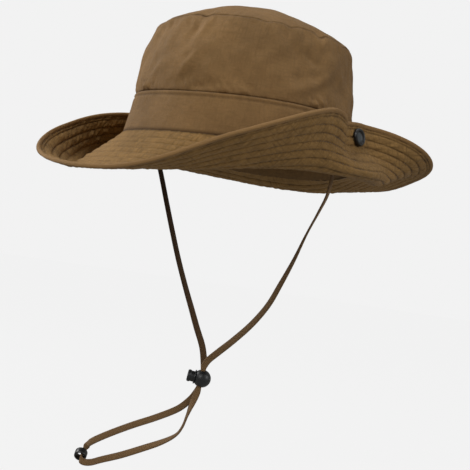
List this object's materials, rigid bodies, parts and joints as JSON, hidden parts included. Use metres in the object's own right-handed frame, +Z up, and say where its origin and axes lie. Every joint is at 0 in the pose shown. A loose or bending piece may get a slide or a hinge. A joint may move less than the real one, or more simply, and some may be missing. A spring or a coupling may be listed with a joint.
{
  "type": "jungle hat",
  "caption": "Wide-brim jungle hat with a banded round crown, a quilted brim snapped up at both sides, and a chin cord with a ball lock.",
  "frame": {"origin": "middle of the head opening, level with the seam of crown and brim", "axes": "+Z up through the crown, -Y towards the hat's front, +X towards the wearer's left side"},
  "size_m": [0.2464, 0.3387, 0.3694],
  "materials": {
    "crown_cloth": "matte",
    "brim_cloth": "matte",
    "binding_tape": "matte",
    "cord_braid": "satin",
    "black_plastic": "satin",
    "snap_metal": "satin"
  },
  "bodies": {
    "hat": {"crown_top": "crown_cloth", "crown_side": "crown_cloth", "crown_band": "crown_cloth", "brim": "brim_cloth", "edge_binding": "binding_tape", "snap_cap_left": "black_plastic", "snap_cap_right": "black_plastic", "snap_stud_left": "snap_metal", "snap_stud_right": "snap_metal", "chin_cord": "cord_braid", "lock_body": "black_plastic", "loop_ring": "black_plastic"},
    "lock_plunger": {"lock_plunger": "black_plastic"}
  },
  "joints": [
    {"name": "plunger_press", "type": "slide", "parent": "hat", "child": "lock_plunger", "axis": [0.8613, 0.4973, -0.1045], "range_m": [0, 0.002], "stiffness_N_per_m": 400}
  ]
}
